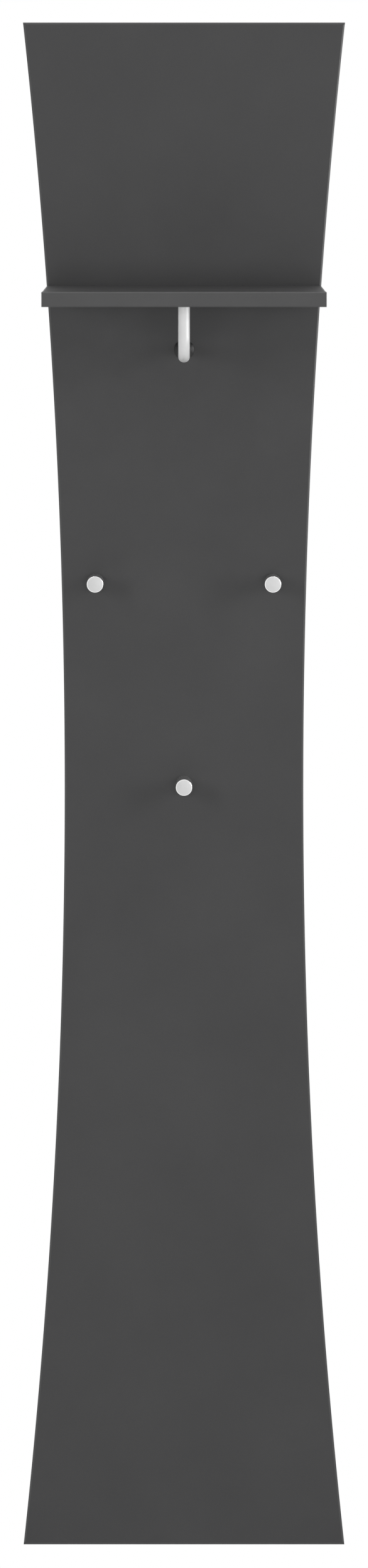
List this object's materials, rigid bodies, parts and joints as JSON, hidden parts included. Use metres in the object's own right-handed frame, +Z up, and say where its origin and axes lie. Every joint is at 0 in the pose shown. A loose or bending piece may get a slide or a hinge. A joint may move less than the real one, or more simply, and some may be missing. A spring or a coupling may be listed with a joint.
{
  "type": "wall coat rack",
  "caption": "Tall waisted wall panel with a hat shelf, a bent round hanger rail under it and short round coat pegs, hung on two flush keyhole caps.",
  "frame": {"origin": "on the wall plane, midway between the round ends of the two keyholes in the panel's back", "axes": "+X to the viewer's right, +Y into the wall so that the front faces -Y, +Z up along the panel"},
  "size_m": [0.4, 0.248, 1.9],
  "materials": {
    "laminated_board": "matt anthracite melamine on chipboard",
    "edging": "matt anthracite ABS",
    "satin_metal": "satin",
    "zinc_plate": "bright zinc plate",
    "dark_plastic": "moulded, matt",
    "beech": "raw"
  },
  "bodies": {
    "root": {"back_panel": "laminated_board", "shelf_board": "laminated_board", "left_edge_band": "edging", "right_edge_band": "edging", "top_edge_band": "edging", "bottom_edge_band": "edging", "shelf_front_band": "edging", "shelf_left_band": "edging", "shelf_right_band": "edging", "hanger_rail": "satin_metal", "upper_left_peg": "satin_metal", "upper_right_peg": "satin_metal", "lower_peg": "satin_metal", "left_keyhole_cap": "zinc_plate", "right_keyhole_cap": "zinc_plate", "shelf_screws": "zinc_plate", "peg_screws": "zinc_plate", "rail_screw": "zinc_plate", "rail_rosette": "dark_plastic", "shelf_dowels": "beech"}
  },
  "joints": []
}
